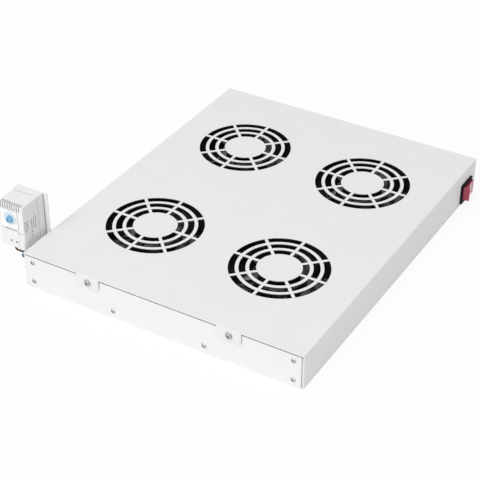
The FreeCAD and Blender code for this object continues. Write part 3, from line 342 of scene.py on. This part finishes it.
def carve(item, tool):
    """Cut the tool's shape out of a piece."""
    modifier = item.modifiers.new("cut", "BOOLEAN")
    modifier.object = tool
    modifier.solver = "EXACT"
    bpy.context.view_layer.update()
    result = item.evaluated_get(bpy.context.evaluated_depsgraph_get())
    mesh = bpy.data.meshes.new_from_object(result)
    item.modifiers.clear()
    item.data = mesh
    bpy.data.objects.remove(tool)
    smooth_shading(mesh)


def bevel(item, width, segments, angle):
    """Round the edges that are sharper than an angle in degrees."""
    modifier = item.modifiers.new("edges", "BEVEL")
    modifier.width = width * MM
    modifier.segments = segments
    modifier.limit_method = "ANGLE"
    modifier.angle_limit = math.radians(angle)


def settle(item, body, slot, *stands_for):
    """The piece rides on a body and may stand for CAD nodes, which it hides; slot is not used."""
    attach(item, body)
    if stands_for:
        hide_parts(*stands_for)
    return item


def separate_boxes(node):
    """The lowest and highest corners of each separate solid of a node."""
    mesh = nodes[node].data
    spots = [tuple(round(c / MM, 3) for c in vertex.co) for vertex in mesh.vertices]
    parent = {spot: spot for spot in spots}

    def root(spot):
        while parent[spot] != spot:
            spot = parent[spot]
        return spot

    for face in mesh.polygons:
        first = root(spots[face.vertices[0]])
        for index in face.vertices[1:]:
            parent[root(spots[index])] = first
    found = {}
    for spot in parent:
        found.setdefault(root(spot), []).append(spot)
    return [(Vector([min(c) for c in zip(*group)]), Vector([max(c) for c in zip(*group)]))
            for group in found.values()]


# ---------------------------------------------------------------- softened CAD nodes

SHEET_EDGE = 0.22
EDGES = [                               # radius, segments, nodes
    (SHEET_EDGE, 2, ["front_panel", "rear_panel", "thermostat_bracket"]),
    (0.25, 2, ["switch_housing", "power_inlet", "terminal_block", "front_cover"]),
    (0.3, 2, ["thermostat_case", "thermostat_base"]),
    (0.12, 1, ["mounting_rail", "inlet_pins", "switch_terminals", "earth_screw",
               "bimetal_strip"]),
    (0.9, 3, ["wiring_loom"]),
    (0.4, 2, [f"fan_frame_{number}" for number in FANS]),
]
WELDED = 0.000002                       # metres within which a node's points are one
FLAT_ANGLE = 0.5                        # degrees within which neighbouring faces are one
EDGE_ANGLE = 32                         # degrees from which an edge is rounded


def soften(node, width, segments, punched=False):
    """Round the edges of a CAD node a little, as its coat or mould does."""
    item = nodes[node]
    weld = item.modifiers.new("weld", "WELD")
    weld.merge_threshold = WELDED
    if punched:
        flat = item.modifiers.new("flat", "DECIMATE")
        flat.decimate_type = "DISSOLVE"
        flat.angle_limit = math.radians(FLAT_ANGLE)
    bevel(item, width, segments, EDGE_ANGLE)


for width, segments, names in EDGES:
    for name in names:
        soften(name, width, segments)
for name in ("top_cover", "base_plate"):
    soften(name, SHEET_EDGE, 2, punched=True)

# ---------------------------------------------------------------- fasteners

FIRST_TWIST = 0.35                      # radians; each further head of a node turns 1 more
CROSS_REACH, SLOT_REACH = 0.48, 1.2     # shares of a head's radius, from its middle
BAR_HALF = 0.13                         # half the width of a cut, as a share of the radius
BAR_SPAN = (0.45, 1.6)                  # bottom and top of a cut, as shares of the height


def rivet_profile(radius, height):
    """Blind rivet: domed flange round the hole that its pin left."""
    return [(0, 0), (radius, 0), (radius, 0.25 * height), (0.9 * radius, 0.6 * height),
            (0.74 * radius, 0.9 * height), (0.6 * radius, height), (0.53 * radius, 0.92 * height),
            (0.5 * radius, 0.08 * height), (0, 0.08 * height)]


def pan_profile(radius, height):
    """Pan head on a washer of the full radius."""
    return [(0, 0), (radius, 0), (radius, 0.3 * height), (0.97 * radius, 0.36 * height),
            (0.74 * radius, 0.36 * height), (0.74 * radius, 0.62 * height),
            (0.68 * radius, 0.86 * height), (0.55 * radius, 0.97 * height), (0, height)]


def flat_profile(radius, height):
    """Flat head with a small chamfer."""
    return [(0, 0), (radius, 0), (radius, 0.85 * height), (0.93 * radius, height), (0, height)]


def recess(radius, height, arms):
    """Bars that cut a short cross (two arms) or a slot across (one arm) into a head's top."""
    reach = CROSS_REACH * radius if arms == 2 else SLOT_REACH * radius
    width = BAR_HALF * radius
    bar = block([(-reach, reach), (-width, width), [share * height for share in BAR_SPAN]])
    return [(bar, Matrix.Rotation(arm * math.pi / 2, 4, "Z")) for arm in range(arms)]


def fasten(node, axis, profile, arms=0, rear_axis=None):
    """Rounded heads in place of a node's plain ones; rear_axis is for heads in the rear half."""
    along = [abs(c) for c in axis].index(1)
    heads = Shape()
    tools = [Shape() for _ in range(arms)]
    for number, (low, high) in enumerate(separate_boxes(node)):
        size = high - low
        radius = max(size[k] for k in range(3) if k != along) / 2
        height = size[along]
        facing = rear_axis if rear_axis and low.y > 0 else axis
        seat = (low + high) / 2 - Vector(facing) * height / 2
        turn = aim(seat, facing, FIRST_TWIST + number)
        heads.add(*lathe(profile(radius, height)), turn)
        for tool, (bar, spin) in zip(tools, recess(radius, height, arms)):
            tool.add(*bar, turn @ spin)
    slot = SLOT_OF[node]
    item = heads.piece(node + "_heads", FINISHES[slot])
    for tool in tools:
        carve(item, tool.piece("cutter", FINISHES[slot]))
    return settle(item, "housing", slot, node)


fasten("panel_rivets", FRONT, rivet_profile)
fasten("bracket_rivets", LEFT, rivet_profile)
fasten("rail_rivets", FRONT, rivet_profile)
fasten("inlet_screws", REAR, pan_profile, arms=2)
fasten("terminal_screws", UP, flat_profile, arms=1)
fasten("thermostat_screws", FRONT, flat_profile, arms=1)
fasten("cover_screws", FRONT, pan_profile, arms=2, rear_axis=REAR)

# ---------------------------------------------------------------- impellers

BLADES = 5
HUB_RADIUS, HUB_LENGTH, HUB_WALL = 32.0, 28.0, 2.0
CROWN = [(3.0, 0.0), (1.2, 0.5), (0.3, 1.4), (0.0, 3.0)]        # inwards and down, at its top
SHAFT_RADIUS, SHAFT_CHAMFER = 2.0, 0.4
BLADE_ROOT, BLADE_TIP = 30.5, 54.4
CHORD_PLANE_ROOT, CHORD_PLANE_TIP = 24.0, 52.5      # where the two half chords are taken
HALF_ROOT, HALF_TIP = 14.0, 19.0
BLADE_RISE, CAMBER = 25.0, 4.0
BLADE_THICKNESS, EDGE_SHARE, BELOW_SHARE = 1.8, 0.12, 0.1
WRAP = 0.55                             # how far the blade's ends follow the round bore
RADIAL_STEPS, CHORD_STEPS = 10, 14


def blade(low):
    """One cambered blade, thickest at its middle and thin at both edges."""
    normal = Vector((0, -BLADE_RISE, 2 * HALF_TIP)).normalized()
    points = []
    for side in (0, 1):
        for i in range(RADIAL_STEPS + 1):
            radius = BLADE_ROOT + (BLADE_TIP - BLADE_ROOT) * i / RADIAL_STEPS
            share = (radius - CHORD_PLANE_ROOT) / (CHORD_PLANE_TIP - CHORD_PLANE_ROOT)
            half = HALF_ROOT + (HALF_TIP - HALF_ROOT) * min(share, 1)
            for j in range(CHORD_STEPS + 1):
                s = (1 - math.cos(math.pi * j / CHORD_STEPS)) / 2
                k = 0.5 + (s - 0.5) * half / HALF_TIP
                round_share = 2 * math.sqrt(s) * math.sqrt(1 - s)
                thick = BLADE_THICKNESS * (EDGE_SHARE + (1 - EDGE_SHARE) * round_share)
                lift = CAMBER * math.sin(math.pi * k) + thick * (side - BELOW_SHARE)
                spot = Vector((0, HALF_TIP * (2 * k - 1), low + BLADE_RISE * k)) + normal * lift
                spot.x = math.sqrt(radius ** 2 - WRAP * spot.y ** 2)
                points.append(spot)
    row = CHORD_STEPS + 1
    sheet = row * (RADIAL_STEPS + 1)
    faces = []
    for i in range(RADIAL_STEPS):
        for j in range(CHORD_STEPS):
            a = i * row + j
            faces.append((a, a + 1, a + row + 1, a + row))
            faces.append((sheet + a, sheet + a + row, sheet + a + row + 1, sheet + a + 1))
        for j in (0, CHORD_STEPS):
            a = i * row + j
            faces.append((a, a + row, sheet + a + row, sheet + a))
    for i in (0, RADIAL_STEPS):
        for j in range(CHORD_STEPS):
            a = i * row + j
            faces.append((a, sheet + a, sheet + a + 1, a + 1))
    return points, faces


def make_impeller(number):
    """Hub cup with a rounded crown, five blades and the shaft, on one rotor's axis."""
    node = f"fan_rotor_{number}"
    low, high = box_mm(node)
    centre = joint_centre(f"rotor_{number}")
    hub_low = high.z - HUB_LENGTH
    shape = Shape()
    lift = Matrix.Translation((centre.x, centre.y, 0))
    inner = HUB_RADIUS - HUB_WALL
    roof = high.z - HUB_WALL
    cup = [(0, high.z)] + [(HUB_RADIUS - inward, high.z - down) for inward, down in CROWN]
    cup += [(HUB_RADIUS, hub_low), (inner, hub_low), (inner, roof), (0, roof)]
    shape.add(*lathe(cup[::-1], sides=64), lift)
    shaft = [(0, low.z), (SHAFT_RADIUS - SHAFT_CHAMFER, low.z),
             (SHAFT_RADIUS, low.z + SHAFT_CHAMFER), (SHAFT_RADIUS, roof), (0, roof)]
    shape.add(*lathe(shaft, sides=24), lift)
    points, faces = blade(hub_low + (HUB_LENGTH - BLADE_RISE) / 2)
    for k in range(BLADES):
        shape.add(points, faces, lift @ Matrix.Rotation(2 * math.pi * k / BLADES, 4, "Z"))
    item = shape.piece(f"impeller_{number}", FINISHES["rotor_plastic"])
    return settle(item, f"rotor_{number}", "rotor_plastic", node)


for number in FANS:
    make_impeller(number)

# ---------------------------------------------------------------- rocker

ROCKER_HALF, ROCKER_WIDTH = 11.5, 9.2               # half its length and half its width
ROCKER_RISE, ROCKER_DIP, HOLLOW = 12.4, 10.6, 0.5   # ends, middle, and sag of each half
ROCKER_FOOT, ROCKER_FOOT_HALF = -2.0, 8.5
ROCKER_ANGLE = 12                                   # degrees, at rest
PIN_RADIUS, PIN_LENGTH = 1.3, 0.9
ARC_STEPS = 8


def arc_points(start, end):
    """Points from start towards end that sag in the middle; the end is left out."""
    across = end - start
    down = Vector((-across.y, across.x)).normalized()
    return [start + across * k / ARC_STEPS + down * HOLLOW * math.sin(math.pi * k / ARC_STEPS)
            for k in range(ARC_STEPS)]


def make_rocker():
    """Rocker with two dished halves; its long edges are rounded."""
    first, middle, last = (Vector((ROCKER_RISE, -ROCKER_HALF)), Vector((ROCKER_DIP, 0)),
                           Vector((ROCKER_RISE, ROCKER_HALF)))
    outline = arc_points(first, middle) + arc_points(middle, last)
    outline += [last, Vector((0, ROCKER_HALF)), Vector((ROCKER_FOOT, ROCKER_FOOT_HALF)),
                Vector((ROCKER_FOOT, -ROCKER_FOOT_HALF)), Vector((0, -ROCKER_HALF))]
    count = len(outline)
    points = [(p.x, p.y, z) for z in (-ROCKER_WIDTH, ROCKER_WIDTH) for p in outline]
    faces = [list(range(count))[::-1], list(range(count, 2 * count))]
    for k in range(count):
        after = (k + 1) % count
        faces.append([k, after, count + after, count + k])
    turn = Matrix.Translation(joint_centre("rocker"))
    turn = turn @ Matrix.Rotation(math.radians(ROCKER_ANGLE), 4, "Z")
    end = ROCKER_WIDTH + PIN_LENGTH
    pins = lathe([(0, -end), (PIN_RADIUS, -end), (PIN_RADIUS, end), (0, end)], sides=20)
    shape = Shape().add(points, faces, turn).add(*pins, turn)
    item = shape.piece("rocker_cap", FINISHES["rocker_plastic"], sharp_angle=25)
    bevel(item, width=0.7, segments=3, angle=40)
    return settle(item, "rocker", "rocker_plastic", "switch_rocker")


make_rocker()

# ---------------------------------------------------------------- dial and scale

DIAL = joint_centre("dial")
KNOB_RADIUS, KNOB_LENGTH = 4.5, 4.0
FLUTES, FLUTE_DEPTH = 18, 0.35
GROOVE_HALF, GROOVE_DEPTH = 0.6, 1.2
SPINDLE_RADIUS = 2.0
RING_INNER, RING_OUTER = KNOB_RADIUS + 0.3, KNOB_RADIUS + 2.3
TICKS, TICK_START, TICK_STEP = 19, -135, 15         # degrees
TICK_INNER, TICK_HALF = KNOB_RADIUS + 2.6, 0.22
LONG_TICK, SHORT_TICK = 2.4, 1.5
PRINT_THICKNESS = 0.05


def make_knob():
    """Fluted knob with a screwdriver groove, on its spindle."""
    low, high = box_mm("setting_knob")
    back = low.y + KNOB_LENGTH
    turn = aim((DIAL.x, back, DIAL.z), FRONT)
    body = [(0, 0), (KNOB_RADIUS, 0), (KNOB_RADIUS, 0.8), (KNOB_RADIUS - 0.5, 1.2),
            (KNOB_RADIUS - 0.6, KNOB_LENGTH - 0.7), (KNOB_RADIUS - 1.0, KNOB_LENGTH - 0.2),
            (KNOB_RADIUS - 1.6, KNOB_LENGTH), (0, KNOB_LENGTH)]
    spindle = [(0, back - high.y), (SPINDLE_RADIUS, back - high.y), (SPINDLE_RADIUS, 0), (0, 0)]
    shape = Shape().add(*lathe(body, 72, FLUTES, FLUTE_DEPTH), turn)
    shape.add(*lathe(spindle, sides=20), turn)
    item = shape.piece("knob_cap", FINISHES["knob_plastic"], sharp_angle=30)
    groove = block([(-GROOVE_HALF, GROOVE_HALF), (-KNOB_RADIUS, KNOB_RADIUS),
                    (KNOB_LENGTH - GROOVE_DEPTH, KNOB_LENGTH + 1)])
    carve(item, Shape().add(*groove, turn).piece("cutter", FINISHES["knob_plastic"]))
    return settle(item, "dial", "knob_plastic", "setting_knob")


def make_scale():
    """Printed ring and ticks round the knob, on the front cover."""
    low, _ = box_mm("front_cover")
    face = aim((DIAL.x, low.y, DIAL.z), FRONT)
    profile = [(RING_INNER, 0), (RING_OUTER, 0), (RING_OUTER, PRINT_THICKNESS),
               (RING_INNER, PRINT_THICKNESS), (RING_INNER, 0)]
    band = Shape().add(*lathe(profile, sides=72), face)
    settle(band.piece("scale_ring", PRINT_RING), "housing", "scale")
    ticks = Shape()
    for k in range(TICKS):
        reach = LONG_TICK if k % 2 == 0 else SHORT_TICK
        spans = [(-TICK_HALF, TICK_HALF), (TICK_INNER, TICK_INNER + reach), (0, PRINT_THICKNESS)]
        angle = math.radians(TICK_START + TICK_STEP * k)
        ticks.add(*block(spans), face @ Matrix.Rotation(angle, 4, "Z"))
    settle(ticks.piece("scale_ticks", PRINT), "housing", "scale")


make_knob()
make_scale()

# ---------------------------------------------------------------- grommet and leads

GROMMET_BORE, GROMMET_NECK = 2.9, 5.0
LEAD_DIAMETER = 2.4
BROWN_ROUTE = [
    (-207.2, -205.6, 37.5), (-207.2, -205.6, 29.5), (-199.2, -205.6, 29.5),
    (-184.0, -205.6, 29.5), (-176.0, -205.6, 29.5), (-152.5, -205.6, 29.5),
    (-148.5, -205.6, 29.5), (-144.5, -205.6, 29.5), (-144.5, -205.6, 25.5),
    (-144.5, -205.6, 17.4),
]
BLUE_ROUTE = [
    (-190.5, -205.0, 37.5), (-190.5, -205.0, 34.9), (-192.5, -214.0, 29.0),
    (-184.0, -208.4, 28.5), (-176.0, -208.4, 28.5), (-141.5, -208.4, 28.5),
    (-137.5, -208.4, 28.5), (-133.5, -208.4, 28.5), (-133.5, -208.4, 24.5),
    (-133.5, -208.4, 17.4),
]


def make_grommet():
    """Rubber grommet with rounded lips in the left wall."""
    low, high = box_mm("wire_grommet")
    lip = (high.y - low.y) / 2
    reach = (high.x - low.x) / 2
    bore = GROMMET_BORE
    profile = [(bore, -reach + 0.5), (bore + 0.6, -reach), (lip - 0.7, -reach),
               (lip, -reach + 0.6), (lip - 0.1, -0.75), (GROMMET_NECK, -0.6),
               (GROMMET_NECK, 0.6), (lip - 0.1, 0.75), (lip, reach - 0.6),
               (lip - 0.7, reach), (bore + 0.6, reach), (bore, reach - 0.5),
               (bore, -reach + 0.5)]
    shape = Shape().add(*lathe(profile, sides=40), aim((low + high) / 2, RIGHT))
    item = shape.piece("grommet_rings", FINISHES["rubber"])
    return settle(item, "housing", "rubber", "wire_grommet")


def make_lead(node, slot, route):
    """A short insulated lead on one smooth line, fixed at both ends."""
    data = bpy.data.curves.new(node + "_line", "CURVE")
    data.dimensions = "3D"
    data.bevel_depth = LEAD_DIAMETER / 2 * MM
    data.bevel_resolution = 5
    data.resolution_u = 16
    data.use_fill_caps = True
    spline = data.splines.new("NURBS")
    spline.points.add(len(route) - 1)
    for point, place in zip(spline.points, route):
        point.co = (*(Vector(place) * MM), 1)
    spline.order_u = 3
    spline.use_endpoint_u = True
    data.materials.append(FINISHES[slot])
    item = bpy.data.objects.new(node + "_lead", data)
    bpy.context.scene.collection.objects.link(item)
    settle(item, "housing", slot, node)


make_grommet()
make_lead("brown_wire", "brown_insulation", BROWN_ROUTE)
make_lead("blue_wire", "blue_insulation", BLUE_ROUTE)

# ---------------------------------------------------------------- stage, light and camera

WHITE = (1, 1, 1, 1)
FLOOR_COLOUR, FLOOR_ROUGHNESS = (0.9, 0.9, 0.9, 1), 0.9
FLOOR_HALF, FLOOR_HEIGHT = 6.0, -0.0002             # metres
FLOOR_GLOW = 0.9                                    # the rest takes the tray's shadow
WORLD_LIGHT = 0.58
LAMPS = [                                           # name, place, size, power
    ("key", (-0.2, -3.25, 3.95), 2.8, 143),
    ("fill", (2.6, -2.2, 1.4), 2.0, 2),
]
LENS, SENSOR_WIDTH = 104.06, 36
VIEW_ANGLES = (30.755, 34.634, 0.053)               # azimuth, elevation and roll, in degrees
VIEW_TARGET, VIEW_DISTANCE = (0.01749, -0.07862, 0.046), 1.5805


def seen_directly(tree):
    """1 for camera, glossy and transmission rays, so that all of them meet white."""
    path = tree.nodes.new("ShaderNodeLightPath")
    total = path.outputs["Is Camera Ray"]
    for name in ("Is Glossy Ray", "Is Transmission Ray"):
        total = calculate(tree, "MAXIMUM", total, path.outputs[name])
    return total


def show_mixed(tree, share, first, second, output_type):
    """Send a mix of two shaders to the tree's output."""
    mix = tree.nodes.new("ShaderNodeMixShader")
    tree.links.new(share, mix.inputs["Fac"])
    tree.links.new(first, mix.inputs[1])
    tree.links.new(second, mix.inputs[2])
    output = next(n for n in tree.nodes if n.type == output_type)
    tree.links.new(mix.outputs["Shader"], output.inputs["Surface"])


def make_floor():
    """White floor that keeps a faint shadow of the tray."""
    mesh = bpy.data.meshes.new("floor")
    corners = [(x * FLOOR_HALF, y * FLOOR_HALF, 0) for x, y in ((-1, -1), (1, -1), (1, 1), (-1, 1))]
    mesh.from_pydata(corners, [], [(0, 1, 2, 3)])
    item = bpy.data.objects.new("floor", mesh)
    item.location.z = FLOOR_HEIGHT
    bpy.context.scene.collection.objects.link(item)
    material, tree, shader = new_material("floor_paint")
    shader.inputs["Base Color"].default_value = FLOOR_COLOUR
    shader.inputs["Roughness"].default_value = FLOOR_ROUGHNESS
    glow = tree.nodes.new("ShaderNodeEmission")
    glow.inputs["Strength"].default_value = 1.0
    part = calculate(tree, "MULTIPLY", seen_directly(tree), FLOOR_GLOW)
    part = calculate(tree, "MULTIPLY", part, beyond_tray(tree))
    show_mixed(tree, part, shader.outputs["BSDF"], glow.outputs["Emission"], "OUTPUT_MATERIAL")
    mesh.materials.append(material)


def make_world():
    """Even light, and white where the camera or a reflection looks past the floor."""
    world = bpy.data.worlds.new("studio")
    bpy.context.scene.world = world
    world.use_nodes = True
    tree = world.node_tree
    light = tree.nodes["Background"]
    white = tree.nodes.new("ShaderNodeBackground")
    for background, strength in ((light, WORLD_LIGHT), (white, 1.0)):
        background.inputs["Color"].default_value = WHITE
        background.inputs["Strength"].default_value = strength
    show_mixed(tree, seen_directly(tree), light.outputs["Background"],
               white.outputs["Background"], "OUTPUT_WORLD")


def area_light(name, place, extent, power):
    """A square lamp that points at the tray's middle."""
    data = bpy.data.lights.new(name, "AREA")
    data.size = extent
    data.energy = power
    lamp = bpy.data.objects.new(name, data)
    bpy.context.scene.collection.objects.link(lamp)
    lamp.location = place
    lamp.rotation_mode = "QUATERNION"
    lamp.rotation_quaternion = (-Vector(place)).to_track_quat("-Z", "Y")


def make_camera():
    """The photograph's viewing angle."""
    data = bpy.data.cameras.new("camera")
    data.sensor_width = SENSOR_WIDTH
    data.lens = LENS
    data.clip_start, data.clip_end = 0.05, 50
    item = bpy.data.objects.new("camera", data)
    bpy.context.scene.collection.objects.link(item)
    azimuth, elevation, roll = (math.radians(angle) for angle in VIEW_ANGLES)
    back = Vector((math.sin(azimuth) * math.cos(elevation),
                   -math.cos(azimuth) * math.cos(elevation), math.sin(elevation)))
    item.location = Vector(VIEW_TARGET) + back * VIEW_DISTANCE
    level = (-back).to_track_quat("-Z", "Y").to_matrix().to_4x4()
    item.rotation_mode = "QUATERNION"
    item.rotation_quaternion = (level @ Matrix.Rotation(roll, 4, "Z")).to_quaternion()
    bpy.context.scene.camera = item


make_floor()
make_world()
for lamp in LAMPS:
    area_light(*lamp)
make_camera()
bpy.context.scene.view_settings.view_transform = "Standard"
